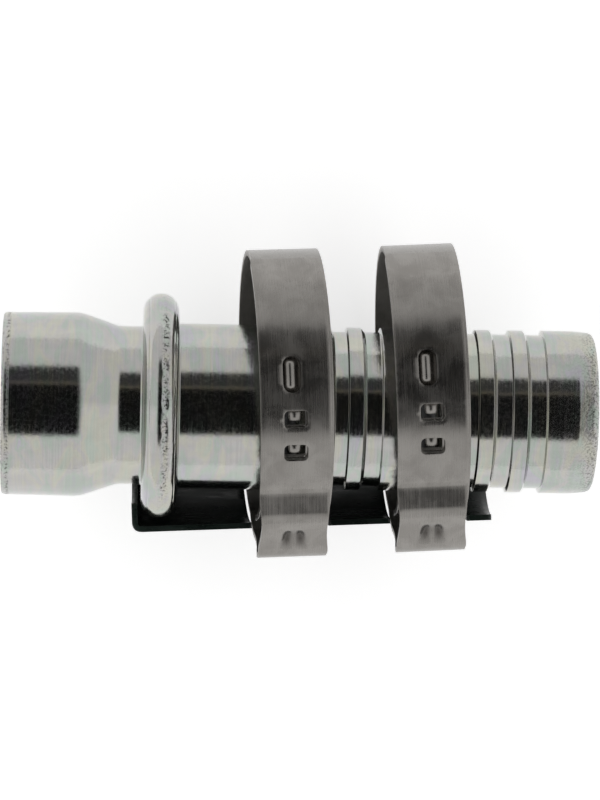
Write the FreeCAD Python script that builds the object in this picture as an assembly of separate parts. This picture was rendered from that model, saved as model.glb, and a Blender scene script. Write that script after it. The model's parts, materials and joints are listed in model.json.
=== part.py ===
import FreeCAD, Part
import math
import os

# A clip-type hose fitting for a vehicle's air conditioning, 5/8 in barrier hose size, in millimetres.
# +X runs along the stem from the tube socket to the nose that goes into the hose, and +Z is up as the fitting lies.
# The origin is on the stem's axis, at the face of the bead that the hose butts against.

# ---- stem: what the hose and the tube decide ----
STEM_R = 8.57             # plain body that the hose is pushed over
HOSE_WALL = 2.98          # barrier hose wall once it is on the stem
BORE_R = 6.3              # refrigerant passage
SOCKET_R = 8.2            # tube socket, for a 5/8 in tube that is brazed in
SOCKET_WALL = 1.25
SOCKET_FLARE = 0.09       # the socket grows this much from its rim to its shoulder
STEM_BACK = 18.1          # bead face to the socket's rim
SHOULDER_BACK = 10.8      # bead face to the socket's shoulder
CONE_SLOPE = 19.0         # degrees, from the shoulder down to the neck
CONE_ROUND = 4.5
STEP_SLOPE = 24.0         # degrees, from the socket down to the passage
STEP_ROUND = 2.5
STEM_FRONT = 43.05        # bead face to the nose's end
NECK_STEP = 0.37          # the neck is this much thinner than the body
RIM_ROUND = 0.3

# ---- bead ----
BEAD_WIDTH = 3.69
BEAD_OVER_HOSE = 0.11     # the bead stands this much above the hose
BEAD_R = STEM_R + HOSE_WALL + BEAD_OVER_HOSE

# ---- hose grooves and lands in front of the body ----
BODY_END = 16.0           # bead face to where the plain body has sloped down into the first groove
FIRST_LAND = 17.42
LAND_PITCH = 3.5
LAND_WIDTH = 1.8          # a land with its front slope
LAND_SLOPE = 0.35
LAND_FLANK = 0.1          # a land's steep back
LAND_DROP = 0.12          # lands stand this much below the body
GROOVE_DEPTH = 0.57       # below the body
NOSE_LENGTH = 5.3
NOSE_DROP = 0.09          # the nose's cylinder below the body
NOSE_CYLINDER = 3.2
NOSE_TIP_DROP = 0.28      # the nose's tip below the body
NOSE_ROUND = 0.6
NOSE_CHAMFER = 0.4

# ---- seal rings ----
SEAL_CORD = 1.8
SEAL_GROOVE_DEPTH = 0.65 * SEAL_CORD
SEAL_GROOVE_WIDTH = SEAL_CORD + 0.6
SEAL_GAP = 0.02           # ring to groove root

# ---- clip cage ----
SHEET = 0.6
CAGE_GAP = 0.09           # cage to bead, and so to hose
CAGE_IN_R = BEAD_R + CAGE_GAP
CAGE_OUT_R = CAGE_IN_R + SHEET
CAGE_FROM = 87.0          # degrees round the stem from +Z towards -Y: the edge with the lugs
CAGE_TO = 205.0
CAGE_FRONT = 32.3
CAGE_HOOK_GAP = 0.8       # cage flange to bead
CAGE_BEND_R = 0.3         # inside radius of the flange's bend
CAGE_NECK_GAP = 1.1       # the flange's cut-out is this much wider than the neck
CAGE_SHIFT_Y = -0.66      # where the loose cage's axis passes the bead face
CAGE_SHIFT_Z = -0.6
CAGE_ABOUT_Z = 2.9        # the loose cage's axis, turned in degrees
CAGE_ABOUT_Y = -1.5

# ---- ear clamps ----
STRIP = 0.6
STRIP_WIDTH = 7.2
CLAMP_SLACK = 1.15        # clamp to cage when the clamp hasn't been closed
CLAMP_R = CAGE_OUT_R + CLAMP_SLACK
LAYER_GAP = 0.05          # between the strip's two layers
NOTCH_BACK = 0.2          # room behind a clamp in the cage's notch, towards the bead
NOTCH_AHEAD = 0.6         # and in front of it
NOTCH_UNDER = 0.2         # room between a clamp and the cage's spine inside it
TONGUE_END = 98.0         # degrees, as for the cage: the strip's inner end, under the ear
OUTER_END = -62.0         # the strip's outer end
EAR_NEAR = 48.3           # where the ear leaves the loop, on the side of the windows
EAR_FAR = 107.0
EAR_TOP = 4.2             # the ear's height over the loop
EAR_FOOT = 3.05           # length of the ear's foot
EAR_FOOT_LEAN = 31.0      # the foot leans out from the loop's tangent by this
EAR_SHOULDER_R = 0.7
EAR_CREST_R = 2.6
SLOT = (-11.0, 3.5)       # from and to, in degrees
SLOT_WIDTH = 2.0
SLOT_ASIDE = -0.3         # off the strip's middle
WINDOWS = ((9.6, 18.4), (24.0, 32.6))
WINDOW_WIDTH = 2.6
WINDOW_ASIDE = 0.1
WINDOW_CORNER = 0.5
ROUND_END_GAP = 0.05      # a slot's round ends stop this short of meeting
HOOK_WIDTH = 1.5
HOOK_HEIGHT = 0.45
HOOK_LENGTH = 0.9

# Each clamp hangs loose on the cage: its centre, then its turns about Z, Y and X, in degrees.
CLAMPS = {
    "ear_clamp_1": {"centre": (11.0, 2.4, -0.9), "turns": (2.7, 2.6, 0.0)},
    "ear_clamp_2": {"centre": (25.25, 3.16, -0.9), "turns": (3.4, 0.4, -0.8)},
}
SEALS = {"seal_ring_1": 11.1, "seal_ring_2": 25.4}

X_AXIS = FreeCAD.Vector(1, 0, 0)
Y_AXIS = FreeCAD.Vector(0, 1, 0)
Z_AXIS = FreeCAD.Vector(0, 0, 1)
ORIGIN = FreeCAD.Vector(0, 0, 0)
FULL_TURN = 360.0


def profile_point(x, radius):
    """A point of a turned outline, drawn in the XY plane above the stem's axis."""
    return FreeCAD.Vector(x, radius, 0)


def line(start, end):
    return Part.LineSegment(start, end).toShape()


def arc(start, middle, end):
    return Part.Arc(start, middle, end).toShape()


def polyline(points):
    return [line(a, b) for a, b in zip(points, points[1:])]


def turned(edges, angle=FULL_TURN):
    """A closed outline in the XY plane, turned about the X axis."""
    face = Part.Face(Part.Wire(edges))
    return face.revolve(ORIGIN, X_AXIS, angle)


# ---------------------------------------------------------------- stem

def quarter(centre_x, centre_r, radius, from_deg, to_deg):
    """An arc of a turned outline about a centre."""
    def at(deg):
        a = math.radians(deg)
        return profile_point(centre_x + radius * math.cos(a), centre_r + radius * math.sin(a))
    return arc(at(from_deg), at((from_deg + to_deg) / 2), at(to_deg))


def slope_down(x_start, r_start, r_end, slope_deg, round_r):
    """A cone between two cylinders, with the same round at both ends. Returns its edges and where it ends."""
    lean = math.radians(slope_deg)
    dx = round_r * math.sin(lean)
    dr = round_r * (1 - math.cos(lean))
    sign = 1 if r_end < r_start else -1
    run = (abs(r_start - r_end) - 2 * dr) / math.tan(lean)
    half = lean / 2
    mid_x = round_r * math.sin(half)
    mid_r = round_r * (1 - math.cos(half))
    a = profile_point(x_start, r_start)
    b = profile_point(x_start + dx, r_start - sign * dr)
    c = profile_point(x_start + dx + run, r_end + sign * dr)
    d = profile_point(x_start + 2 * dx + run, r_end)
    first = arc(a, profile_point(x_start + mid_x, r_start - sign * mid_r), b)
    last = arc(c, profile_point(d.x - mid_x, r_end + sign * mid_r), d)
    return [first, line(b, c), last], d.x


def land_back(x, radius):
    """The steep rise out of a groove to a land that starts at x."""
    return [profile_point(x - LAND_FLANK, STEM_R - GROOVE_DEPTH), profile_point(x, radius)]


def land_front(x, radius):
    """The slope down from a land into a groove that starts at x."""
    return [profile_point(x - LAND_SLOPE, radius), profile_point(x, STEM_R - GROOVE_DEPTH)]


def seal_groove(centre, radius):
    root, half = STEM_R - SEAL_GROOVE_DEPTH, SEAL_GROOVE_WIDTH / 2
    return [
        profile_point(centre - half, radius),
        profile_point(centre - half, root),
        profile_point(centre + half, root),
        profile_point(centre + half, radius),
    ]


def hose_end_points():
    """The body, the seal grooves, the lands between and in front of the clamps, and the nose up to its round."""
    first_seal, second_seal = SEALS.values()
    land_r = STEM_R - LAND_DROP
    nose, nose_r = STEM_FRONT - NOSE_LENGTH, STEM_R - NOSE_DROP
    second_land, third_land = FIRST_LAND + LAND_PITCH, nose - 2 * LAND_PITCH
    points = [profile_point(0, STEM_R)] + seal_groove(first_seal, STEM_R) + land_front(BODY_END, STEM_R)
    points += land_back(FIRST_LAND, land_r) + land_front(FIRST_LAND + LAND_WIDTH, land_r)
    points += land_back(second_land, land_r) + seal_groove(second_seal, land_r)
    points += land_front(third_land - LAND_PITCH + LAND_WIDTH, land_r)
    for start in (third_land, third_land + LAND_PITCH):
        points += land_back(start, land_r) + land_front(start + LAND_WIDTH, land_r)
    points += land_back(nose, nose_r)
    points.append(profile_point(nose + NOSE_CYLINDER, nose_r))
    points.append(profile_point(STEM_FRONT - NOSE_ROUND, STEM_R - NOSE_TIP_DROP))
    return points


def bead_edges(neck_r):
    """The bead: two upright sides and a half-round crown."""
    half = BEAD_WIDTH / 2
    crown = BEAD_R - half
    return [
        line(profile_point(-BEAD_WIDTH, neck_r), profile_point(-BEAD_WIDTH, crown)),
        arc(profile_point(-BEAD_WIDTH, crown), profile_point(-half, BEAD_R), profile_point(0, crown)),
        line(profile_point(0, crown), profile_point(0, STEM_R)),
    ]


def make_stem():
    neck_r = STEM_R - NECK_STEP
    rim_r = SOCKET_R + SOCKET_WALL
    shoulder_r = rim_r + SOCKET_FLARE
    back = -STEM_BACK
    edges = [
        line(profile_point(back, SOCKET_R), profile_point(back, rim_r - RIM_ROUND)),
        quarter(back + RIM_ROUND, rim_r - RIM_ROUND, RIM_ROUND, 180, 90),
        line(profile_point(back + RIM_ROUND, rim_r), profile_point(-SHOULDER_BACK, shoulder_r)),
    ]
    outer, neck_x = slope_down(-SHOULDER_BACK, shoulder_r, neck_r, CONE_SLOPE, CONE_ROUND)
    edges += outer
    edges.append(line(profile_point(neck_x, neck_r), profile_point(-BEAD_WIDTH, neck_r)))
    edges += bead_edges(neck_r)
    edges += polyline(hose_end_points())
    tip_r = STEM_R - NOSE_TIP_DROP
    edges.append(quarter(STEM_FRONT - NOSE_ROUND, tip_r - NOSE_ROUND, NOSE_ROUND, 90, 0))
    inner, passage_x = slope_down(-SHOULDER_BACK, SOCKET_R, BORE_R, STEP_SLOPE, STEP_ROUND)
    edges += polyline([
        profile_point(STEM_FRONT, tip_r - NOSE_ROUND),
        profile_point(STEM_FRONT, BORE_R + NOSE_CHAMFER),
        profile_point(STEM_FRONT - NOSE_CHAMFER, BORE_R),
        profile_point(passage_x, BORE_R),
    ])
    edges += inner[::-1]
    edges.append(line(profile_point(-SHOULDER_BACK, SOCKET_R), profile_point(back, SOCKET_R)))
    return turned(Part.__sortEdges__(edges))


def make_seal(station):
    """An O-ring resting in its groove in the stem."""
    cord = SEAL_CORD / 2
    ring_r = STEM_R - SEAL_GROOVE_DEPTH + SEAL_GAP + cord
    return Part.makeTorus(ring_r, cord, FreeCAD.Vector(station, 0, 0), X_AXIS)


# ---------------------------------------------------------------- ear clamps

def ring_point(radius, deg, x=0.0):
    """A point round the X axis, its angle counted from +Z towards -Y."""
    a = math.radians(deg)
    return FreeCAD.Vector(x, -radius * math.sin(a), radius * math.cos(a))


def ring_sector(inner, outer, from_deg, to_deg, width):
    """Part of a ring round the X axis, centred on x = 0."""
    x = -width / 2
    middle = (from_deg + to_deg) / 2
    edges = [
        arc(ring_point(inner, from_deg, x), ring_point(inner, middle, x), ring_point(inner, to_deg, x)),
        line(ring_point(inner, to_deg, x), ring_point(outer, to_deg, x)),
        arc(ring_point(outer, to_deg, x), ring_point(outer, middle, x), ring_point(outer, from_deg, x)),
        line(ring_point(outer, from_deg, x), ring_point(inner, from_deg, x)),
    ]
    return Part.Face(Part.Wire(edges)).extrude(X_AXIS * width)


def strip_wall(start, end):
    """A flat stretch of strip between two points of its middle line."""
    along = (end - start).normalize()
    side = along.cross(X_AXIS) * (STRIP / 2)
    corners = [start + side, end + side, end - side, start - side, start + side]
    shift = X_AXIS * (-STRIP_WIDTH / 2)
    face = Part.Face(Part.makePolygon([c + shift for c in corners]))
    return face.extrude(X_AXIS * STRIP_WIDTH)


def strip_round(before, corner, after, radius):
    """A bend of the strip, and the two points of its middle line where it starts and ends."""
    u = (before - corner).normalize()
    v = (after - corner).normalize()
    half = u.getAngle(v) / 2
    reach = radius / math.tan(half)
    start, end = corner + u * reach, corner + v * reach
    bisector = (u + v).normalize()
    centre = corner + bisector * (radius / math.sin(half))
    top = centre - bisector * radius
    thick = STRIP / 2
    shift = X_AXIS * (-STRIP_WIDTH / 2) + centre

    def at(point, r):
        return (point - centre).normalize() * r + shift
    edges = [
        arc(at(start, radius - thick), at(top, radius - thick), at(end, radius - thick)),
        line(at(end, radius - thick), at(end, radius + thick)),
        arc(at(end, radius + thick), at(top, radius + thick), at(start, radius + thick)),
        line(at(start, radius + thick), at(start, radius - thick)),
    ]
    return Part.Face(Part.Wire(edges)).extrude(X_AXIS * STRIP_WIDTH), start, end


def strip_joint(point):
    """Rounds the strip where two stretches meet at a slight angle."""
    return Part.makeCylinder(STRIP / 2, STRIP_WIDTH, point - X_AXIS * (STRIP_WIDTH / 2), X_AXIS)


def ear_foot_end(base_r, base_deg, away):
    """Where the ear's foot ends. away is +1 where the foot runs to larger angles, and -1 to smaller ones."""
    base = ring_point(base_r, base_deg)
    tangent = ring_point(1, base_deg + away * 90)
    outward = ring_point(1, base_deg)
    lean = math.radians(EAR_FOOT_LEAN)
    return base + (tangent * math.cos(lean) + outward * math.sin(lean)) * EAR_FOOT


def make_ear(inner_mid, outer_mid):
    """The ear: a foot, a shoulder and a leg on each side, and a round crest."""
    near_base, far_base = ring_point(outer_mid, EAR_NEAR), ring_point(inner_mid, EAR_FAR)
    near = ear_foot_end(outer_mid, EAR_NEAR, 1)
    far = ear_foot_end(inner_mid, EAR_FAR, -1)
    crest_deg = (EAR_NEAR + EAR_FAR) / 2
    top = CLAMP_R + STRIP + EAR_TOP - STRIP / 2
    lean = (near - far).getAngle(near - ring_point(top, crest_deg))
    rise = EAR_CREST_R * (1 / math.cos(lean) - 1)
    crest = ring_point(top + rise, crest_deg)
    near_bend, near_in, near_out = strip_round(near_base, near, crest, EAR_SHOULDER_R)
    far_bend, far_in, far_out = strip_round(far_base, far, crest, EAR_SHOULDER_R)
    crest_bend, crest_near, crest_far = strip_round(near, crest, far, EAR_CREST_R)
    return [
        strip_joint(near_base), strip_wall(near_base, near_in), near_bend, strip_wall(near_out, crest_near),
        crest_bend,
        strip_joint(far_base), strip_wall(far_base, far_in), far_bend, strip_wall(far_out, crest_far),
    ]


def window_cutter(span, width, corner, aside):
    """A rounded opening through the strip's outer layer only, from the gap between the layers outwards."""
    start, end = span
    floor_r = CLAMP_R + STRIP + LAYER_GAP / 2
    top_r = floor_r + 2 * STRIP
    length = 2 * floor_r * math.sin(math.radians(end - start) / 2)
    block = Part.makeBox(width, length, top_r, FreeCAD.Vector(aside - width / 2, -length / 2, 0))
    upright = [e for e in block.Edges if abs(e.Vertexes[0].Z - e.Vertexes[-1].Z) > STRIP]
    block = block.makeFillet(corner, upright)
    block.rotate(ORIGIN, X_AXIS, (start + end) / 2)
    return block.common(ring_sector(floor_r, top_r, 2 * start - end, 2 * end - start, STRIP_WIDTH))


def make_clamp_at_origin():
    """One strip: tongue, inner layer, the whole loop, the ear, then the outer layer with its slot and windows."""
    outer_in_r = CLAMP_R + STRIP + LAYER_GAP
    inner_mid, outer_mid = CLAMP_R + STRIP / 2, outer_in_r + STRIP / 2
    half_way = (TONGUE_END + EAR_FAR - FULL_TURN) / 2
    walls = [
        ring_sector(CLAMP_R, CLAMP_R + STRIP, half_way, TONGUE_END, STRIP_WIDTH),
        ring_sector(CLAMP_R, CLAMP_R + STRIP, EAR_FAR - FULL_TURN, half_way, STRIP_WIDTH),
        ring_sector(outer_in_r, outer_in_r + STRIP, OUTER_END, EAR_NEAR, STRIP_WIDTH),
    ]
    walls += make_ear(inner_mid, outer_mid)
    strip = walls[0].multiFuse(walls[1:]).removeSplitter()
    strip = strip.cut(window_cutter(SLOT, SLOT_WIDTH, SLOT_WIDTH / 2 - ROUND_END_GAP, SLOT_ASIDE))
    for window in WINDOWS:
        strip = strip.cut(window_cutter(window, WINDOW_WIDTH, WINDOW_CORNER, WINDOW_ASIDE))
    return strip.multiFuse([hook_in_window(window) for window in WINDOWS]).removeSplitter()


def hook_in_window(window):
    """The inner layer's raised hook, in the middle of the window that it holds."""
    middle = sum(window) / 2
    half = math.degrees(HOOK_LENGTH / 2 / CLAMP_R)
    top_r = CLAMP_R + STRIP + HOOK_HEIGHT
    hook = ring_sector(CLAMP_R + STRIP / 2, top_r, middle - half, middle + half, HOOK_WIDTH)
    hook.translate(X_AXIS * WINDOW_ASIDE)
    return hook


def clamp_place(name):
    """Where a clamp hangs: its turns, then its centre."""
    about_z, about_y, about_x = CLAMPS[name]["turns"]
    turn = FreeCAD.Rotation(Z_AXIS, about_z) * FreeCAD.Rotation(Y_AXIS, about_y)
    turn = turn * FreeCAD.Rotation(X_AXIS, about_x)
    return FreeCAD.Placement(FreeCAD.Vector(*CLAMPS[name]["centre"]), turn)


def make_clamp(name):
    clamp = make_clamp_at_origin()
    return clamp.transformGeometry(clamp_place(name).toMatrix())


# ---------------------------------------------------------------- clip cage

def cage_outline():
    """The cage's sheet in section: the trough, the bend and the flange that hooks behind the bead."""
    face = -(BEAD_WIDTH + CAGE_HOOK_GAP)
    outer_bend = CAGE_BEND_R + SHEET
    bend_x, bend_r = face + CAGE_BEND_R, CAGE_IN_R - CAGE_BEND_R
    foot = STEM_R - NECK_STEP + CAGE_NECK_GAP
    return [
        line(profile_point(CAGE_FRONT, CAGE_IN_R), profile_point(bend_x, CAGE_IN_R)),
        quarter(bend_x, bend_r, CAGE_BEND_R, 90, 180),
        line(profile_point(face, bend_r), profile_point(face, foot)),
        line(profile_point(face, foot), profile_point(face - SHEET, foot)),
        line(profile_point(face - SHEET, foot), profile_point(face - SHEET, bend_r)),
        quarter(bend_x, bend_r, outer_bend, 180, 90),
        line(profile_point(bend_x, CAGE_OUT_R), profile_point(CAGE_FRONT, CAGE_OUT_R)),
        line(profile_point(CAGE_FRONT, CAGE_OUT_R), profile_point(CAGE_FRONT, CAGE_IN_R)),
    ]


def notch_ring(name):
    """What a clamp and its ear sweep as the clamp turns, with room round it."""
    width = STRIP_WIDTH + NOTCH_BACK + NOTCH_AHEAD
    start = -STRIP_WIDTH / 2 - NOTCH_BACK
    ring = Part.makeCylinder(CLAMP_R + 2 * EAR_TOP, width, FreeCAD.Vector(start, 0, 0), X_AXIS)
    core = Part.makeCylinder(CLAMP_R - NOTCH_UNDER, 2 * width, FreeCAD.Vector(-width, 0, 0), X_AXIS)
    return ring.cut(core).transformGeometry(clamp_place(name).toMatrix())


def make_cage():
    cage = turned(cage_outline(), CAGE_TO - CAGE_FROM)
    # the turned outline starts at +Y, which is 270 degrees counted from +Z towards -Y
    cage.rotate(ORIGIN, X_AXIS, CAGE_FROM + 90)
    cage.rotate(ORIGIN, Y_AXIS, CAGE_ABOUT_Y)
    cage.rotate(ORIGIN, Z_AXIS, CAGE_ABOUT_Z)
    cage.translate(FreeCAD.Vector(0, CAGE_SHIFT_Y, CAGE_SHIFT_Z))
    for name in CLAMPS:
        cage = cage.cut(notch_ring(name))
    return cage


def write(name, shape):
    solid = shape.Solids[0] if len(shape.Solids) == 1 else shape
    print(f"{name}: {len(shape.Solids)} solid, {shape.Volume:.1f} mm3, valid {shape.isValid()}")
    solid.exportStep(f"parts/{name}.step")


os.makedirs("parts", exist_ok=True)
write("hose_stem", make_stem())
for ring, station in SEALS.items():
    write(ring, make_seal(station))
for clamp_name in CLAMPS:
    write(clamp_name, make_clamp(clamp_name))
write("clip_cage", make_cage())
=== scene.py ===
# %% [markdown]
# # A clip-type hose fitting for a vehicle's air conditioning
# This notebook dresses one small steel assembly: a zinc-plated hose stem with a formed bead, two loose
# stainless ear clamps and the dark sheet-metal cage that keeps the clamps in place. The CAD frame fixes
# every size, so each piece made here takes its place from the frame and only adds the shape and finish that
# the real piece has.

# %% Load the frame
import json
import math

import bmesh
import bpy
import numpy as np
from mathutils import Matrix, Vector, geometry, kdtree, noise


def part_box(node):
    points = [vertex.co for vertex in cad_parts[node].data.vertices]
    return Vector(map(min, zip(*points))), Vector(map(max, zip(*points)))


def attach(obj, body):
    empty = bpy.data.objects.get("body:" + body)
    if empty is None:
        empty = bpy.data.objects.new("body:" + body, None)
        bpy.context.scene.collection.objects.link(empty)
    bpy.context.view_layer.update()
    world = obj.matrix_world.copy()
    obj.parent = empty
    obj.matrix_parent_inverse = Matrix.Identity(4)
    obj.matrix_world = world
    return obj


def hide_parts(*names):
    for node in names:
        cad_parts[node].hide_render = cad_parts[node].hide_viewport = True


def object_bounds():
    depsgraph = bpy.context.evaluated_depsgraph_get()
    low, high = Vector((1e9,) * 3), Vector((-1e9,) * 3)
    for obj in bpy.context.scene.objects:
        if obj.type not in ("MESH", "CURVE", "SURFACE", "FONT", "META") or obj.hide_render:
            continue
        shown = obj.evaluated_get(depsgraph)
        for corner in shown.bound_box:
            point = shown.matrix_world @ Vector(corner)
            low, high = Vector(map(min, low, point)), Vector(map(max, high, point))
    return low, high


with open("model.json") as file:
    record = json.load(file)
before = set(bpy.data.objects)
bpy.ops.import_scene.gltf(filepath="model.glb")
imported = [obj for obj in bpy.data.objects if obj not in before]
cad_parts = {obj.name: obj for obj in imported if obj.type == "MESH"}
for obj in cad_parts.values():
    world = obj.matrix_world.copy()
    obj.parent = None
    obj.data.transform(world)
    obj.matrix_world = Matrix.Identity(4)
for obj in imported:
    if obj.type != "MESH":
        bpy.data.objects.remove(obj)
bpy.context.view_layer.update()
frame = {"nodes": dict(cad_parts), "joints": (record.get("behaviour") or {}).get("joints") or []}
MM = 0.001
stem_low, stem_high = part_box("hose_stem")

# %% [markdown]
# ## Camera
# A long lens a short way above the bench looks almost straight down on the fitting. It leans a little
# towards the tube socket, so the near sides of the clamps show further along the stem than their far sides.

# %% Camera
CAMERA_AWAY = 402.7 * MM        # lens to the stem's axis
FRAME_TALL = 800                # the picture's height, in the units of the next value
FRAME_SHARE = 3878              # how far away a frame of that height subtends the lens's view
CAMERA_LEAN = 2.8               # degrees towards the socket
CAMERA_ROLL = 0.96              # degrees, so the stem's nose drops a little
AIM_ALONG = 12.72 * MM          # from the bead's face to the middle of the picture
AIM_ASIDE = 0.60 * MM
SENSOR = 36.0                   # mm, the picture's longer side


def make_camera():
    data = bpy.data.cameras.new("camera")
    data.sensor_width = SENSOR
    data.lens = SENSOR * FRAME_SHARE / FRAME_TALL
    data.clip_start = 10 * MM
    data.clip_end = 100.0
    camera = bpy.data.objects.new("camera", data)
    bpy.context.scene.collection.objects.link(camera)
    to_picture = Matrix.Rotation(math.radians(-CAMERA_ROLL), 3, "Z")
    to_picture = to_picture @ Matrix.Rotation(math.radians(CAMERA_LEAN), 3, "Y")
    to_frame = to_picture.transposed()
    place = to_frame @ Vector((AIM_ALONG, AIM_ASIDE, CAMERA_AWAY))
    camera.matrix_world = Matrix.Translation(place) @ to_frame.to_4x4()
    bpy.context.scene.camera = camera
    return camera


camera = make_camera()
print("camera at (mm):", [round(c / MM, 1) for c in camera.matrix_world.translation])

# %% [markdown]
# ## Small helpers for node trees
# Every material, the light and the lathe are node trees. One helper adds a node with its settings and
# links: an input that is given a socket is linked, and anything else is set as a value on the node's own
# socket.

# %% Node and colour helpers
MATH, RANGE, MIX = "ShaderNodeMath", "ShaderNodeMapRange", "ShaderNodeMix"
RAMP, BUMP, MARK = "ShaderNodeValToRGB", "ShaderNodeBump", "ShaderNodeAttribute"
SOFT = {"interpolation_type": "SMOOTHSTEP"}
COLOURS = {"data_type": "RGBA", "out": 2}       # a Mix node's first colour inputs are 6 and 7


def add_node(tree, kind, inputs=(), out=0, stops=(), **settings):
    """Adds a node and gives back the output asked for.

    Inputs go in order, or by the socket's name or number. Stops are a colour ramp's (place, colour) pairs.
    """
    node = tree.nodes.new(kind)
    for key, value in settings.items():
        setattr(node, key, value)
    for key, value in (inputs.items() if isinstance(inputs, dict) else enumerate(inputs)):
        if isinstance(value, bpy.types.NodeSocket):
            tree.links.new(value, node.inputs[key])
        else:
            node.inputs[key].default_value = value
    for i, (place, value) in enumerate(stops):
        element = node.color_ramp.elements[i] if i < 2 else node.color_ramp.elements.new(place)
        element.position, element.color = place, value
    return node.outputs[out] if len(node.outputs) else None


def colour(code):
    """An sRGB hex colour as the linear values that shaders use."""
    shares = [int(code[i:i + 2], 16) / 255 for i in (1, 3, 5)]
    linear = [s / 12.92 if s <= 0.04045 else ((s + 0.055) / 1.055) ** 2.4 for s in shares]
    return (*linear, 1.0)


def grey(level):
    return (level, level, level, 1.0)


def new_material(name, **sockets):
    """A material with one Principled BSDF, whose constant sockets are given by name."""
    material = bpy.data.materials.new(name)
    material.use_nodes = True
    shader = material.node_tree.nodes["Principled BSDF"]
    for key, value in sockets.items():
        shader.inputs[key.replace("_", " ")].default_value = value
    return material, material.node_tree, shader.inputs


def pattern(tree, size, detail=2.0, distortion=0.0, turn=(0.0, 0.0, 0.0), source="Object"):
    """Noise whose features have that size in millimetres along x, y and z."""
    where = add_node(tree, "ShaderNodeTexCoord", out=source)
    unit = 1.0 if source == "UV" else MM
    scale = [1 / (s * unit) for s in size]
    placed = add_node(tree, "ShaderNodeMapping", {"Vector": where, "Scale": scale, "Rotation": turn})
    return add_node(tree, "ShaderNodeTexNoise", {"Vector": placed, "Scale": 1.0, "Detail": detail,
                                                 "Distortion": distortion})


print("helpers ready: grey(0.5) is", grey(0.5))

# %% [markdown]
# ## Zinc plate on turned steel
# The stem is machined, then electroplated with bright zinc and passivated. The zinc is a clear light metal,
# the passivation is a film thin enough to show pale green, straw and lilac patches, and the tool's feed
# lines still show through both as fine rings. Where the steel was pressed or cut the plate is thick, rough
# and flecked. A vertex attribute named wear marks those places, so the flecks follow the shape.

# %% Material: bright zinc plate
TURNING_PITCH = 0.16            # mm, drawn coarser than a real feed of 0.08 mm so that it shows
FILM_PATCH = 6.5                # mm
FLECK = 0.22                    # mm


def make_zinc_plate():
    material, tree, skin = new_material("zinc_plate_clear_passivated", Metallic=1.0)
    film = pattern(tree, (FILM_PATCH / 3, FILM_PATCH, FILM_PATCH), detail=3.0, distortion=0.7)
    tint = add_node(tree, RAMP, [film], stops=[
        (0.30, colour("#ACB4AB")), (0.42, colour("#B6B5AA")), (0.50, colour("#B2B0AF")),
        (0.58, colour("#A8B1A8")), (0.68, colour("#AFADB3"))])
    rings = pattern(tree, (TURNING_PITCH, 9.0, 9.0), detail=4.0)
    streaks = pattern(tree, (3.5, 1.4, 1.4), detail=4.0, distortion=0.5)
    grain = pattern(tree, (0.30, 0.30, 0.30), detail=3.0)
    both = add_node(tree, MATH, [rings, streaks], operation="ADD")
    shade = add_node(tree, RANGE, [both, 0.70, 1.30, 0.92, 1.01], **SOFT)
    scaled = add_node(tree, "ShaderNodeVectorMath", {0: tint, "Scale": shade}, operation="SCALE")
    wear = add_node(tree, MARK, out="Fac", attribute_name="wear")
    fleck = pattern(tree, (FLECK, FLECK, FLECK), detail=3.0)
    fleck = add_node(tree, RANGE, [fleck, 0.50, 0.60, 0.0, 1.0], **SOFT)
    flecked = add_node(tree, MATH, [wear, fleck], operation="MULTIPLY")
    base = add_node(tree, MIX, {0: flecked, 6: scaled, 7: colour("#3A3936")}, **COLOURS)
    tree.links.new(base, skin["Base Color"])
    fine = add_node(tree, MATH, [rings, 0.6, grain], operation="MULTIPLY_ADD")
    plain = add_node(tree, RANGE, [fine, 0.5, 1.1, 0.10, 0.20], **SOFT)
    tree.links.new(add_node(tree, MATH, [wear, 0.22, plain], operation="MULTIPLY_ADD"), skin["Roughness"])
    lines = add_node(tree, BUMP, {"Height": rings, "Distance": 0.0022 * MM})
    pits = add_node(tree, MATH, [wear, 8.0, 1.0], operation="MULTIPLY_ADD")
    rough = add_node(tree, MATH, [grain, pits], operation="MULTIPLY")
    worn = add_node(tree, BUMP, {"Height": rough, "Distance": 0.004 * MM, "Normal": lines})
    tree.links.new(worn, skin["Normal"])
    return material


zinc_plate = make_zinc_plate()
print("made", zinc_plate.name)

# %% [markdown]
# ## Satin stainless strip
# The clamps are cut from cold-rolled stainless strip and tumbled to take the burr off. The rolls leave fine
# lines along the strip, and tumbling leaves soft cloudy patches and short scratches, so the surface has a
# wide soft highlight. The pattern follows the strip round the loop and the ear, so it reads the piece's own
# UV map, which is the flat blank in millimetres. The ear's dimple is also painted darker, as painted shade
# in its lobes, from a vertex attribute named pressed.

# %% Material: satin rolled stainless
ROLL_LINE = 0.07                # mm across the strip
CLOUD = 2.6                     # mm


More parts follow.
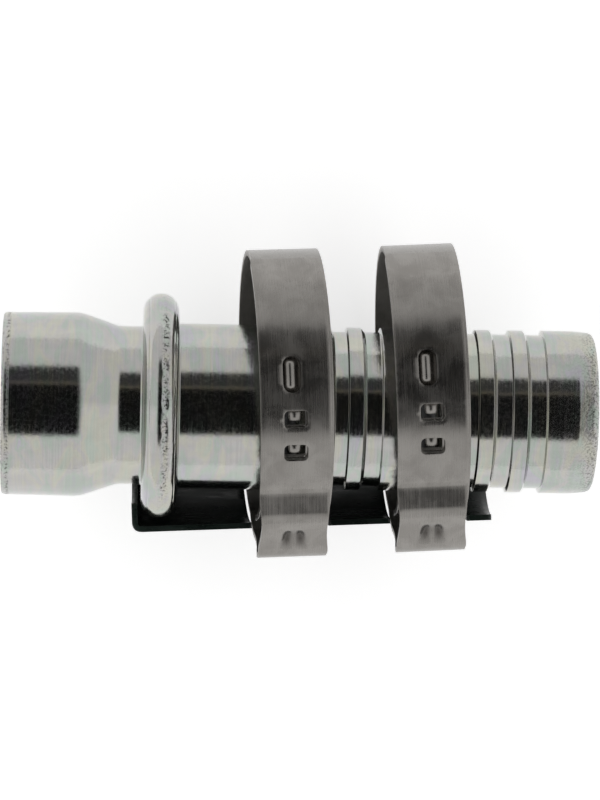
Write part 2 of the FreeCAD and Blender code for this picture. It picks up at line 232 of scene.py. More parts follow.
def make_stainless():
    material, tree, skin = new_material("stainless_strip_satin_rolled", Metallic=1.0)
    cloud = pattern(tree, (CLOUD, CLOUD, CLOUD), detail=4.0, distortion=0.6)
    lines = pattern(tree, (7.0, ROLL_LINE, 1.0), detail=3.0, source="UV")
    scratch = pattern(tree, (1.6, 0.10, 1.0), detail=2.0, turn=(0.0, 0.0, 0.5), source="UV")
    tone = add_node(tree, MATH, [lines, 0.5, cloud], operation="MULTIPLY_ADD")
    tone = add_node(tree, RANGE, [tone, 0.45, 1.05, 0.0, 1.0], **SOFT)
    base = add_node(tree, RAMP, [tone], stops=[(0.0, colour("#7C7975")), (1.0, colour("#908D89"))])
    # Painted shade: the pressed attribute is the ear dimple's lobes, and it darkens the base colour there as
    # painted shade. The scratch darkening added to it is real scratching.
    pressed = add_node(tree, MARK, out="Fac", attribute_name="pressed")
    dark = add_node(tree, RANGE, [scratch, 0.66, 0.74, 0.0, 0.4], **SOFT)
    scratches_and_dimple_shade = add_node(tree, MATH, [dark, pressed], operation="ADD", use_clamp=True)
    base = add_node(tree, MIX, {0: scratches_and_dimple_shade, 6: base, 7: colour("#4A4744")}, **COLOURS)
    tree.links.new(base, skin["Base Color"])
    inner = add_node(tree, MARK, out="Fac", attribute_name="inner")
    soft = add_node(tree, MATH, [lines, cloud], operation="ADD")
    soft = add_node(tree, RANGE, [soft, 0.7, 1.3, 0.22, 0.31], **SOFT)
    tree.links.new(add_node(tree, MATH, [inner, 0.30, soft], operation="MULTIPLY_ADD"), skin["Roughness"])
    rolled = add_node(tree, BUMP, {"Height": lines, "Distance": 0.003 * MM})
    marked = add_node(tree, BUMP, {"Height": scratch, "Distance": 0.004 * MM, "Normal": rolled})
    tree.links.new(marked, skin["Normal"])
    return material


stainless = make_stainless()
print("made", stainless.name)

# %% [markdown]
# ## Green-black plated sheet
# The cage is pressed from thin steel and plated, then blackened. The blackening is a smooth green-black
# layer with a low sheen. It picks up dust and light rubbing where the clamps and hose touch.

# %% Material: blackened plated sheet
RUB = 1.4                       # mm


def make_blackened_sheet():
    material, tree, skin = new_material("steel_sheet_blackened", Metallic=0.0, IOR=1.42)
    cloud = pattern(tree, (4.0, 4.0, 4.0), detail=3.0)
    rub = pattern(tree, (RUB * 3, RUB * 0.3, RUB), detail=3.0)
    dust = pattern(tree, (0.16, 0.16, 0.16), detail=2.0)
    base = add_node(tree, RAMP, [cloud], stops=[
        (0.30, colour("#0C1411")), (0.55, colour("#121E19")), (0.75, colour("#192721"))])
    specks = add_node(tree, RANGE, [dust, 0.66, 0.72, 0.0, 0.4], **SOFT)
    base = add_node(tree, MIX, {0: specks, 6: base, 7: colour("#4D5A54")}, **COLOURS)
    tree.links.new(base, skin["Base Color"])
    uneven = add_node(tree, MATH, [rub, cloud], operation="ADD")
    tree.links.new(add_node(tree, RANGE, [uneven, 0.75, 1.25, 0.24, 0.40], **SOFT), skin["Roughness"])
    tree.links.new(add_node(tree, BUMP, {"Height": rub, "Distance": 0.002 * MM}), skin["Normal"])
    return material


blackened = make_blackened_sheet()
print("made", blackened.name)

# %% [markdown]
# ## Moulded rubber
# The seal rings are moulded nitrile rubber. A mould gives a dull, faintly grained black with a thin oily
# sheen, so the roughness is high and only the grain varies it.

# %% Material: moulded nitrile rubber
def make_rubber():
    material, tree, skin = new_material("nitrile_rubber_moulded", IOR=1.52)
    grain = pattern(tree, (0.12, 0.12, 0.12), detail=3.0)
    bloom = pattern(tree, (1.5, 1.5, 1.5), detail=2.0)
    base = add_node(tree, RAMP, [bloom], stops=[(0.35, colour("#141414")), (0.70, colour("#262625"))])
    tree.links.new(base, skin["Base Color"])
    tree.links.new(add_node(tree, RANGE, [grain, 0.3, 0.7, 0.45, 0.70], **SOFT), skin["Roughness"])
    tree.links.new(add_node(tree, BUMP, {"Height": grain, "Distance": 0.01 * MM}), skin["Normal"])
    return material


rubber = make_rubber()
print("made", rubber.name)

# %% [markdown]
# ## A lathe made of nodes
# The stem and its seal rings are turned shapes: one outline carried round the stem's axis. A Spin in mesh
# code would do it too, but as a node tree the outline stays an input and the number of steps is one named
# value. The outline is swept round a circle of the turning radius, then laid along X.

# %% Lathe tree
def make_lathe():
    tree = bpy.data.node_groups.new("lathe", "GeometryNodeTree")
    sockets = tree.interface
    sockets.new_socket("Outline", in_out="INPUT", socket_type="NodeSocketGeometry")
    sockets.new_socket("Steps round", in_out="INPUT", socket_type="NodeSocketInt")
    sockets.new_socket("Turning radius", in_out="INPUT", socket_type="NodeSocketFloat")
    sockets.new_socket("Finish", in_out="INPUT", socket_type="NodeSocketMaterial")
    sockets.new_socket("Turned", in_out="OUTPUT", socket_type="NodeSocketGeometry")
    given = add_node(tree, "NodeGroupInput").node.outputs
    outline = add_node(tree, "GeometryNodeMeshToCurve", {"Mesh": given["Outline"]})
    circle = add_node(tree, "GeometryNodeCurvePrimitiveCircle",
                      {"Resolution": given["Steps round"], "Radius": given["Turning radius"]}, mode="RADIUS")
    swept = add_node(tree, "GeometryNodeCurveToMesh", {"Curve": circle, "Profile Curve": outline})
    laid = add_node(tree, "GeometryNodeTransform",
                    {"Geometry": swept, "Rotation": (0.0, math.radians(-90), 0.0)})
    real = add_node(tree, "GeometryNodeRealizeInstances", {"Geometry": laid})
    finished = add_node(tree, "GeometryNodeSetMaterial", {"Geometry": real, "Material": given["Finish"]})
    add_node(tree, "NodeGroupOutput", {"Turned": finished})
    return tree


lathe = make_lathe()
print("lathe inputs:", [item.name for item in lathe.interface.items_tree if item.in_out == "INPUT"])

# %% [markdown]
# ## Outlines and finished meshes
# An outline is a short list of corners, each with the radius that the tool or the press leaves there. The
# finished mesh is a plain copy with its modifiers applied, merged and turned outwards, and flat faces keep
# flat shading next to their small rounds because the normals are weighted by area.

# %% Outline and mesh helpers
def fillet(before, corner, after, radius, steps):
    """Points round a corner between two straight runs."""
    u, v = (before - corner).normalized(), (after - corner).normalized()
    half = u.angle(v) / 2
    if radius <= 0 or half > math.radians(89.5):
        return [corner]
    reach = radius / math.tan(half)
    centre = corner + (u + v).normalized() * radius / math.sin(half)
    first, last = corner + u * reach - centre, corner + v * reach - centre
    turn = first.angle(last)
    return [centre + (first * math.sin((1 - t) * turn) + last * math.sin(t * turn)) / math.sin(turn)
            for t in (i / steps for i in range(steps + 1))]


def rounded_outline(corners, steps=4):
    """A closed outline from (x, y, radius) corners, in millimetres."""
    points = [Vector((x, y)) for x, y, _ in corners]
    line = []
    for i, (_, _, radius) in enumerate(corners):
        line += fillet(points[i - 1], points[i], points[(i + 1) % len(points)], radius, steps)
    return line


def object_from(name, verts, edges, faces):
    mesh = bpy.data.meshes.new(name)
    mesh.from_pydata([tuple(v) for v in verts], edges, faces)
    made = bpy.data.objects.new(name, mesh)
    bpy.context.scene.collection.objects.link(made)
    return made


def apply_modifiers(piece):
    """Leaves a plain mesh in place of the piece's modifiers."""
    bpy.context.view_layer.update()
    evaluated = piece.evaluated_get(bpy.context.evaluated_depsgraph_get())
    mesh = bpy.data.meshes.new_from_object(evaluated)
    piece.modifiers.clear()
    piece.data = mesh
    mesh.name = piece.name
    return piece


def turn_outwards(mesh):
    work = bmesh.new()
    work.from_mesh(mesh)
    bmesh.ops.remove_doubles(work, verts=work.verts, dist=1e-7)
    bmesh.ops.recalc_face_normals(work, faces=work.faces)
    work.to_mesh(mesh)
    work.free()


def weight_normals(piece):
    piece.data.shade_smooth()
    weighted = piece.modifiers.new("weighted", "WEIGHTED_NORMAL")
    weighted.mode = "FACE_AREA"
    weighted.keep_sharp = False
    return apply_modifiers(piece)


def turn_on_lathe(name, outline, steps, finish, turning_radius=1.0):
    """A piece turned about X from a closed outline of (x, radius) points in millimetres."""
    verts = [((p.y - turning_radius) * MM, p.x * MM, 0) for p in outline]
    edges = [(i, (i + 1) % len(verts)) for i in range(len(verts))]
    piece = object_from(name, verts, edges, [])
    modifier = piece.modifiers.new("lathe", "NODES")
    modifier.node_group = lathe
    values = {"Steps round": steps, "Turning radius": turning_radius * MM, "Finish": finish}
    for item in lathe.interface.items_tree:
        if item.in_out == "INPUT" and item.name in values:
            modifier[item.identifier] = values[item.name]
    apply_modifiers(piece)
    turn_outwards(piece.data)
    return piece


def report(piece):
    size = [round(d / MM, 2) for d in piece.dimensions]
    print(piece.name, "faces:", len(piece.data.polygons), "size in mm:", size)


# %% [markdown]
# ## The hose stem
# One turned part: a socket that a 5/8 in tube is brazed into, a cone down to the neck, a bead pressed out
# of the wall, a plain body, then grooves and lands that bite the hose, and a tapered nose. The outline
# takes its ends and the bead's height from the frame, and every edge gets the small round that turning or
# plating leaves.

# %% Stem outline
BODY_R = 8.57
BORE_R = 6.3
SOCKET_R = 8.2
SOCKET_RIM_R = 9.45
SHOULDER_R = 9.54
SHOULDER_BACK = 10.8
NECK_R = 8.2
BEAD_WIDTH = 3.69
GROOVE_R = 8.0
LAND_R = 8.45
BODY_END = 16.0
LANDS = (17.42, 20.92)          # where each land's crest starts, between the clamps
LAND_WIDTH = 1.8
LAND_SLOPE = 0.35
LAND_BACK = 0.1
LAND_PITCH = 3.5
NOSE_LENGTH = 5.3
NOSE_R = 8.48
NOSE_CYLINDER = 3.2
NOSE_TIP_R = 8.29
SEAL_ROOT_R = 7.4
SEAL_GROOVE = 2.4
SEALS = {"seal_ring_1": 11.1, "seal_ring_2": 25.4}
EDGE = 0.05
SUPPORT = 0.12                  # extra points this far from a corner keep long runs flat

back, front = stem_low.x / MM, stem_high.x / MM
bead_r = stem_high.z / MM


def cone(x, r_from, r_to, degrees, radius, last_radius):
    """The two corners of a cone whose first round starts at x."""
    off = radius * math.tan(math.radians(degrees / 2))
    run = abs(r_from - r_to) / math.tan(math.radians(degrees))
    return [(x + off, r_from, radius), (x + off + run, r_to, last_radius)]


def seal_groove(centre, r):
    low, high = centre - SEAL_GROOVE / 2, centre + SEAL_GROOVE / 2
    return [(low, r, EDGE), (low, SEAL_ROOT_R, EDGE), (high, SEAL_ROOT_R, EDGE), (high, r, EDGE)]


def land_start(x, r):
    return [(x - LAND_BACK, GROOVE_R, EDGE), (x, r, EDGE)]


def land_end(x, r):
    return [(x - LAND_SLOPE, r, EDGE), (x, GROOVE_R, EDGE)]


def bead_crown(steps=64):
    """The half-round crown, in fine steps because its folds are pressed into it later."""
    half = BEAD_WIDTH / 2
    turns = [math.pi * (1 - i / steps) for i in range(steps + 1)]
    return [(-half + half * math.cos(a), bead_r - half + half * math.sin(a), 0) for a in turns]


def stem_corners():
    seal_1, seal_2 = SEALS.values()
    nose = front - NOSE_LENGTH
    corners = [(back, SOCKET_R, 0.15), (back, SOCKET_RIM_R, 0.32)]
    corners += [(back + 0.62, SOCKET_RIM_R + 0.01, 0.0), (back + 0.70, SOCKET_RIM_R - 0.025, 0.0),
                (back + 0.78, SOCKET_RIM_R + 0.01, 0.0)]
    corners += cone(-SHOULDER_BACK, SHOULDER_R, NECK_R, 19, 4.5, 2.2)
    corners += [(-BEAD_WIDTH, NECK_R, 0.25)] + bead_crown() + [(0, BODY_R, 0.12)]
    corners += seal_groove(seal_1, BODY_R) + land_end(BODY_END, BODY_R)
    corners += land_start(LANDS[0], LAND_R) + land_end(LANDS[0] + LAND_WIDTH, LAND_R)
    corners += land_start(LANDS[1], LAND_R) + seal_groove(seal_2, LAND_R)
    corners += land_end(nose - 3 * LAND_PITCH + LAND_WIDTH, LAND_R)
    for start in (nose - 2 * LAND_PITCH, nose - LAND_PITCH):
        corners += land_start(start, LAND_R) + land_end(start + LAND_WIDTH, LAND_R)
    corners += [(nose - LAND_BACK, GROOVE_R, EDGE), (nose, NOSE_R, EDGE), (nose + NOSE_CYLINDER, NOSE_R, 2.0),
                (front, NOSE_TIP_R - 0.04, 0.55), (front, BORE_R + 0.4, EDGE), (front - 0.4, BORE_R, EDGE)]
    bore = cone(-SHOULDER_BACK, SOCKET_R, BORE_R, 24, 2.5, 2.5)
    return corners + bore[::-1]


def supported(line, reach):
    """Adds a point near each end of a long run."""
    points = []
    for here, after in zip(line, line[1:] + line[:1]):
        run = after - here
        points.append(here)
        if run.length > 4 * reach:
            step = run.normalized() * reach
            points += [here + step, after - step]
    return points


stem_outline = supported(rounded_outline(stem_corners()), SUPPORT)
print("stem outline points:", len(stem_outline))

# %% [markdown]
# The bead is a fold of the tube's own wall, squeezed flat from both ends. The squeeze leaves a clean crease
# on the socket side, a ragged seam where the two walls meet on the crown, and a second crease towards the
# hose. They are pressed into the mesh with seeded noise, so they catch light as real folds do, and the same
# places get the wear attribute. The rim and the nose get small nicks.

# %% Turn the stem and press its folds
SEAM_AT, SEAM_HALF, SEAM_DEPTH = -1.42, 0.48, 0.12      # mm, from the bead's face
CREASES = ((-3.05, 0.13, 0.09), (-0.42, 0.10, 0.07))     # place, half width and depth
NICK_DEPTH = 0.05
RAGGED = 0.9                                             # mm, the size of the seam's bites
OPEN_ON_TOP = (-2, 62, 16)      # degrees round the bead: the open part's middle, half width and edge
OPEN_BELOW = (150, 24, 14)      # the same on the underside, on both sides
FRAY_DEPTH, FRAY_SIZE = 0.03, 0.25                       # mm, the fine roughness beside the seam
RIM_GROOVE, LIP, NOSE_SCUFF = (0.65, 0.22), (0.0, 0.35), (-0.3, 1.6)     # mm, place from the end, half width
NOSE_WORN, NOSE_WORN_EDGE = 0.15, 1.2                    # the nose's light wear, and its soft edge in mm
NICK_SIZE = 0.5                                          # mm


def dip(offset, half):
    """1 at the middle of a crease, falling softly to 0 at its half width."""
    share = min(1.0, abs(offset) / half)
    return (1 - share * share) ** 2


def hill(offset, half, edge):
    """1 over a flat top, falling smoothly to 0 at its half size over the edge's width."""
    t = min(1.0, max(0.0, (half - abs(offset)) / edge))
    return t * t * (3 - 2 * t)


def ragged(point, size, seed):
    return noise.noise(Vector(point) / size + Vector((seed, 0.0, 0.0)))


def split_at(point):
    """How open the seam is round the bead: wide on top and on part of the underside, closed between."""
    turn = math.degrees(math.atan2(-point[1], point[2]))
    middle, half, edge = OPEN_ON_TOP
    low_middle, low_half, low_edge = OPEN_BELOW
    return max(hill(turn - middle, half, edge), hill(abs(turn) - low_middle, low_half, low_edge))


def fold_depth(x, r, point):
    """How far the bead's crown is pressed in at x, and how worn it is there."""
    if not (-BEAD_WIDTH < x < 0 and r > bead_r - BEAD_WIDTH / 2):
        return 0.0, 0.0
    wander = 0.12 * ragged(point, 3.0, 5.0) + 0.14 * ragged(point, RAGGED, 9.0)
    bite = split_at(point) * max(0.0, 0.75 + 1.2 * ragged(point, RAGGED, 2.0))
    seam = dip(x - SEAM_AT - wander, SEAM_HALF) * bite
    fine = dip(x - SEAM_AT - wander, 2 * SEAM_HALF) * (0.5 + 0.5 * ragged(point, FRAY_SIZE, 4.0))
    depth = SEAM_DEPTH * seam + FRAY_DEPTH * fine
    depth += sum(d * dip(x - at - 0.3 * wander, half) for at, half, d in CREASES)
    return depth, min(1.0, 1.1 * seam + 0.25 * fine)


def wear_and_nicks(x, r, point):
    """Nicks at the two cut ends, and the flecked plate beside them."""
    if r < BORE_R + 1.0:
        return 0.0, 0.0
    rim = dip(x - back - RIM_GROOVE[0], RIM_GROOVE[1])
    lip = dip(x - back - LIP[0], LIP[1])
    nose = dip(x - front - NOSE_SCUFF[0], NOSE_SCUFF[1])
    nose = max(nose, NOSE_WORN * hill(x - front + NOSE_LENGTH / 2, NOSE_LENGTH / 2, NOSE_WORN_EDGE))
    bite = max(0.0, ragged(point, NICK_SIZE, 7.0) - 0.15)
    return NICK_DEPTH * bite * (rim + lip + nose), min(1.0, 0.9 * rim + 0.6 * lip + 0.55 * nose)


def press_folds(piece):
    mesh = piece.data
    worn = []
    for vertex in mesh.vertices:
        x, y, z = vertex.co / MM
        r = math.hypot(y, z)
        depth, wear = fold_depth(x, r, (x, y, z))
        nick, scuff = wear_and_nicks(x, r, (x, y, z))
        if depth + nick > 0:
            vertex.co = Vector((x, y * (1 - (depth + nick) / r), z * (1 - (depth + nick) / r))) * MM
        worn.append(max(wear, scuff))
    mesh.attributes.new("wear", "FLOAT", "POINT").data.foreach_set("value", worn)


stem = turn_on_lathe("turned_hose_stem", stem_outline, 300, zinc_plate)
press_folds(stem)
weight_normals(stem)
report(stem)
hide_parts("hose_stem")
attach(stem, "stem")

# %% [markdown]
# ## Seal rings
# Each ring is a moulded O-ring lying in its groove, hidden under a clamp. The mould closes on the ring's
# inside and outside, so a fine line of flash runs round both. The lathe turns a circle with that line in
# its outline.

# %% Turn the seal rings
CORD_R = 0.9
FLASH = 0.03


def ring_outline(station, steps=40):
    centre_r = SEAL_ROOT_R + 0.02 + CORD_R
    line = []
    for i in range(steps):
        a = 2 * math.pi * i / steps
        swell = -FLASH if i % (steps // 2) == steps // 4 else -2 * FLASH
        r = CORD_R + swell
        line.append(Vector((station + r * math.cos(a), centre_r + r * math.sin(a))))
    return line


for node, station in SEALS.items():
    ring = turn_on_lathe(node.replace("seal_ring", "moulded_ring"), ring_outline(station), 160, rubber)
    weight_normals(ring)
    report(ring)
    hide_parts(node)
    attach(ring, "stem")

# %% [markdown]
# ## Sheet parts, cut flat and then bent
# The clamps and the cage are press work: a flat blank is cut with its holes, then bent. They are made the
# same way here. A blank is an outline with holes, filled with points close enough to bend, and a place
# function carries each point of the blank, and its distance from the middle of the sheet, into the finished
# shape. The two skins are joined round every cut edge, and a bevel gives the edges the small round that
# tumbling leaves.

# %% Blank and bending helpers
HOLE_SHARE = 0.32               # a hole's edge is rounded this much as far as the outline's


def divided(loop, spacing):
    """A closed loop with points no further apart than the spacing."""
    line = []
    for here, after in zip(loop, loop[1:] + loop[:1]):
        parts = max(1, math.ceil((after - here).length / spacing))
        line += [here.lerp(after, i / parts) for i in range(parts)]
    return line


def inside(points, loop):
    """Which of the points lie inside a closed loop."""
    x, y = points[:, 0], points[:, 1]
    held = np.zeros(len(points), bool)
    for (x1, y1), (x2, y2) in zip(loop, loop[1:] + loop[:1]):
        if y1 != y2:
            crosses = (y1 > y) != (y2 > y)
            held ^= crosses & (x < (x2 - x1) * (y - y1) / (y2 - y1) + x1)
    return held


def grid(low, high, spacing):
    counts = [max(1, round((h - l) / spacing)) for l, h in zip(low, high)]
    xs, ys = (np.linspace(l, h, n + 1) for l, h, n in zip(low, high, counts))
    return np.array([(x, y) for x in xs for y in ys])


def cut_blank(outline, holes, spacing, fine_zones=(), fine=0.2):
    """Points and triangles of a flat blank."""
    loops = [divided(outline, spacing)] + [divided(hole, fine) for hole in holes]
    verts, edges = [], []
    for loop in loops:
        first = len(verts)
        verts += loop
        edges += [(first + i, first + (i + 1) % len(loop)) for i in range(len(loop))]
    near = kdtree.KDTree(len(verts))
    for i, v in enumerate(verts):
        near.insert((v.x, v.y, 0), i)
    near.balance()
    corners = np.array([tuple(v) for v in loops[0]])
    coarse = grid(corners.min(0), corners.max(0), spacing)
    for low, high in fine_zones:
        coarse = coarse[~((coarse >= low).all(1) & (coarse <= high).all(1))]
    sets = [(coarse, spacing)] + [(grid(low, high, fine), fine) for low, high in fine_zones]
    for points, step in sets:
        keep = inside(points, loops[0])
        for hole in loops[1:]:
            keep &= ~inside(points, hole)
        for x, y in points[keep]:
            if near.find((x, y, 0))[2] > 0.55 * step:
                verts.append(Vector((x, y)))
    made = geometry.delaunay_2d_cdt(verts, edges, [], 0, 1e-6)
    flat, faces = made[0], made[2]
    middles = np.array([tuple(sum((flat[i] for i in face), Vector((0, 0))) / 3) for face in faces])
    keep = inside(middles, loops[0])
    for hole in loops[1:]:
        keep &= ~inside(middles, hole)
    rim = {i for i, sources in enumerate(made[3]) if any(j < len(loops[0]) for j in sources)}
    return flat, [tuple(face) for face, kept in zip(faces, keep) if kept], rim


def bend_sheet(name, blank, place, thickness, finish, edge_round, pressed=None):
    """A sheet piece: both skins of a blank carried into place, joined round the cut edges and rounded."""
    flat, faces, rim = blank
    count = len(flat)
    skins = [place(p.x, p.y, w) * MM for w in (thickness / 2, -thickness / 2) for p in flat]
    seen = {}
    for face in faces:
        for a, b in zip(face, face[1:] + face[:1]):
            seen.setdefault(frozenset((a, b)), []).append((a, b))
    walls = [(b, a, a + count, b + count) for a, b in (e[0] for e in seen.values() if len(e) == 1)]
    under = [tuple(i + count for i in reversed(face)) for face in faces]
    piece = object_from(name, skins, [], list(faces) + under + walls)
    layer = piece.data.uv_layers.new(name="blank")
    for loop in piece.data.loops:
        p = flat[loop.vertex_index % count]
        layer.data[loop.index].uv = (p.x, p.y)
    piece.data.materials.append(finish)
    inner = piece.data.attributes.new("inner", "FLOAT", "POINT")
    inner.data.foreach_set("value", [0.0] * count + [1.0] * count)
    # An optional pressed mask is kept as the pressed attribute; for the clamps it is the dimple, painted
    # darker as painted shade.
    if pressed:
        scratches_and_dimple_shade = [pressed(p.x, p.y) for p in flat]
        piece.data.attributes.new("pressed", "FLOAT", "POINT").data.foreach_set("value", scratches_and_dimple_shade * 2)
    cut = {frozenset(pair): 1.0 if rim.issuperset(i % count for i in pair) else HOLE_SHARE
           for wall in walls for pair in (wall[:2], wall[2:])}
    weights = piece.data.attributes.new("bevel_weight_edge", "FLOAT", "EDGE")
    weights.data.foreach_set("value", [cut.get(frozenset(edge.vertices), 0.0) for edge in piece.data.edges])
    turn_outwards(piece.data)
    bevel = piece.modifiers.new("edges", "BEVEL")
    bevel.width, bevel.segments, bevel.limit_method = edge_round * MM, 2, "WEIGHT"
    apply_modifiers(piece)
    return weight_normals(piece)


# %% [markdown]
# ## The ear clamps
# A clamp is one strip. Its inner end starts under the ear, runs once round as the inner layer, rises into
# the ear, and comes back over itself as the outer layer, where two windows hold the inner layer's hooks and
# a slot guides it. It is left a little askew, so the two layers don't lie exactly over each other. The ear
# is waisted and has a dimple pressed into its leg, which stiffens it and takes up spring when the pincers
# close it.

# %% The strip's path
STRIP = 0.6
STRIP_WIDTH = 7.2
LAYER_GAP = 0.05
TONGUE_END, OUTER_END = 98.0, -62.0
EAR_NEAR, EAR_FAR = 48.3, 107.0
EAR_TOP = 4.2
EAR_FOOT, EAR_FOOT_LEAN = 3.05, 31.0
EAR_SHOULDER_R, EAR_CREST_R = 0.7, 2.6
FOOT_BEND_R = 0.6
ASKEW = 0.2                     # mm that each end of the strip lies to its own side
ASIDE = 0.1                     # mm that the whole strip lies towards the nose

CLAMP_NODES = {"ear_clamp_1": "clamp_1", "ear_clamp_2": "clamp_2"}
joint_of = {joint["child"]: joint for joint in frame["joints"]}


def clamp_matrix(body, roll):
    """A clamp's own axes: its joint's place and axis, then its turn about that axis in degrees."""
    joint = joint_of[body]
    axis = Vector(joint["axis"])
    turn = Matrix.Rotation(math.atan2(axis.y, axis.x), 3, "Z") @ Matrix.Rotation(-math.asin(axis.z), 3, "Y")
    turn = turn @ Matrix.Rotation(math.radians(roll), 3, "X")
    return Matrix.Translation(Vector(joint["pos_m"])) @ turn.to_4x4()


def loop_radius(node, body):
    """The clamp's inner radius, measured on its CAD mesh."""
    to_clamp = clamp_matrix(body, 0).inverted()
    points = [to_clamp @ v.co for v in frame["nodes"][node].data.vertices]
    return min(math.hypot(p.y, p.z) for p in points) / MM


clamp_r = loop_radius("ear_clamp_1", "clamp_1")
inner_mid = clamp_r + STRIP / 2
outer_mid = inner_mid + STRIP + LAYER_GAP


def ring_point(radius, degrees):
    """A point round the clamp's axis, as (y, z), its angle counted from +Z towards -Y."""
    a = math.radians(degrees)
    return Vector((-radius * math.sin(a), radius * math.cos(a)))


def ring_run(radius, start, end, step=1.5):
    count = round(abs(end - start) / step)
    return [ring_point(radius, start + (end - start) * i / count) for i in range(count + 1)]


def ear_foot(radius, degrees, away):
    """The end of the ear's foot."""
    lean = math.radians(EAR_FOOT_LEAN)
    along, out = ring_point(1, degrees + away * 90), ring_point(1, degrees)
    return ring_point(radius, degrees) + (along * math.cos(lean) + out * math.sin(lean)) * EAR_FOOT


def ear_run():
    """The ear's line, from its far base over the crest to its near base."""
    near, far = ear_foot(outer_mid, EAR_NEAR, 1), ear_foot(inner_mid, EAR_FAR, -1)
    middle = (EAR_NEAR + EAR_FAR) / 2
    top = clamp_r + STRIP + EAR_TOP - STRIP / 2
    lean = (near - far).angle(near - ring_point(top, middle))
    crest = ring_point(top + EAR_CREST_R * (1 / math.cos(lean) - 1), middle)
    far_base, near_base = ring_point(inner_mid, EAR_FAR), ring_point(outer_mid, EAR_NEAR)
    before, after = ring_point(inner_mid, EAR_FAR + 5), ring_point(outer_mid, EAR_NEAR - 5)
    line = fillet(before, far_base, far, FOOT_BEND_R, 4)
    line += fillet(far_base, far, crest, EAR_SHOULDER_R, 8)
    line += fillet(far, crest, near, EAR_CREST_R, 12)
    line += fillet(crest, near, near_base, EAR_SHOULDER_R, 8)
    return line + fillet(near, near_base, after, FOOT_BEND_R, 4)


inner_run = ring_run(inner_mid, TONGUE_END, EAR_FAR - 360 + 2)
outer_run = ring_run(outer_mid, EAR_NEAR - 2, OUTER_END)
strip_line = inner_run + ear_run() + outer_run
strip_at = np.concatenate([[0.0], np.cumsum([(b - a).length for a, b in zip(strip_line, strip_line[1:])])])
ear_starts, ear_ends = strip_at[len(inner_run)], strip_at[-len(outer_run)]
strip_length = strip_at[-1]
ear_span = [round(u, 1) for u in (ear_starts, ear_ends)]
print("strip length in mm:", round(strip_length, 1), "| ear along it:", ear_span)


def sampled_normals(line):
    """Outward normals at a line's points, for a line that runs round against the angle."""
    normals = []
    for i in range(len(line)):
        run = line[min(i + 1, len(line) - 1)] - line[max(i - 1, 0)]
        normals.append(Vector((-run.y, run.x)).normalized())
    return normals


strip_normals = sampled_normals(strip_line)


def on_line(line, at, normals, u):
    """A place on a line and its normal, u millimetres along it."""
    i = int(np.clip(np.searchsorted(at, u) - 1, 0, len(line) - 2))
    share = (u - at[i]) / (at[i + 1] - at[i])
    return line[i].lerp(line[i + 1], share), normals[i].lerp(normals[i + 1], share).normalized()


# %% [markdown]
# Places along the strip are easiest to say as angles round the clamp, so two small functions turn an angle
# on the inner or the outer layer into millimetres along the blank.

# %% The strip's blank and its pressings
SLOT_SPAN, SLOT_WIDTH, SLOT_ASIDE = (-11.0, 3.5), 1.85, -0.36
WINDOW_SPANS, WINDOW_WIDTH, WINDOW_ASIDE = ((10.6, 17.9), (24.7, 31.9)), 2.45, -0.03
WINDOW_CORNER = 0.5
HOOK_HEIGHT = 0.45
HOOK_HALF, HOOK_LONG = 0.62, 1.0
RIB_HEIGHT, RIB_HALF = 0.7, 0.80
RIB_LONG, RIB_END = 1.85, 0.8    # half the rib's length, and its soft end
WAIST = 0.25                    # mm taken off each side of the ear's legs
CREST_WAIST = 0.10              # and off each side of its crest
LEGS, LEG_REACH, CREST_REACH = (0.27, 0.73), 0.20, 0.06     # shares of the ear's length
EDGE_ROUND = 0.12
FINE = 0.2


def on_outer(degrees):
    return ear_ends + math.radians(EAR_NEAR - 2 - degrees) * outer_mid


def on_inner(degrees):
    return math.radians(TONGUE_END - degrees) * inner_mid


def half_width(u):
    """Half the strip's width, with the ear's waist."""
    share = (u - ear_starts) / (ear_ends - ear_starts)
    dips = sum(dip(share - leg, LEG_REACH) for leg in LEGS)
    crest = dip(share - 0.5, CREST_REACH)
    return STRIP_WIDTH / 2 - WAIST * dips - CREST_WAIST * crest


def strip_outline():
    """The blank, with a rounded tongue at its inner end and clipped corners at its outer end."""
    us = np.linspace(0, strip_length, 241)
    side = [Vector((u, half_width(u))) for u in us[3:-2]]
    tongue = [Vector((0.0, 1.6)), Vector((0.3, 2.2))]
    edge = STRIP_WIDTH / 2
    tail = [Vector((strip_length - 0.25, edge - 0.08)), Vector((strip_length, edge - 0.35))]
    top = tongue + side + tail
    return top + [Vector((p.x, -p.y)) for p in reversed(top)]


def window(span, width, corner, aside):
    start, end = on_outer(span[1]), on_outer(span[0])
    half = width / 2
    box = [(start, aside - half), (end, aside - half), (end, aside + half), (start, aside + half)]
    return rounded_outline([(x, y, corner) for x, y in box], 5)


DIMPLE_ALONG = 0.66             # the dimple's place, as a share of the ear
DIMPLE_HALF = 1.7               # half its length in mm
DIMPLE_DEPTH = 0.48
LOBE_ASIDE, LOBE_SPLAY, LOBE_HALF = 0.66, 0.16, 0.82


def lance(span):
    """The cut round a hook in the inner layer, and where the hook's root and tip are."""
    low, high = on_inner(span[1]) + 0.05, on_inner(span[0]) - 0.05
    across = WINDOW_ASIDE - 2 * ASKEW
    half, tip = WINDOW_WIDTH / 2 - 0.1, high - HOOK_LONG
    corners = [(low, -half), (high, -half), (high, -HOOK_HALF), (tip, -HOOK_HALF),
               (tip, HOOK_HALF), (high, HOOK_HALF), (high, half), (low, half)]
    return rounded_outline([(u, across + v, 0.18) for u, v in corners], 3), across, high


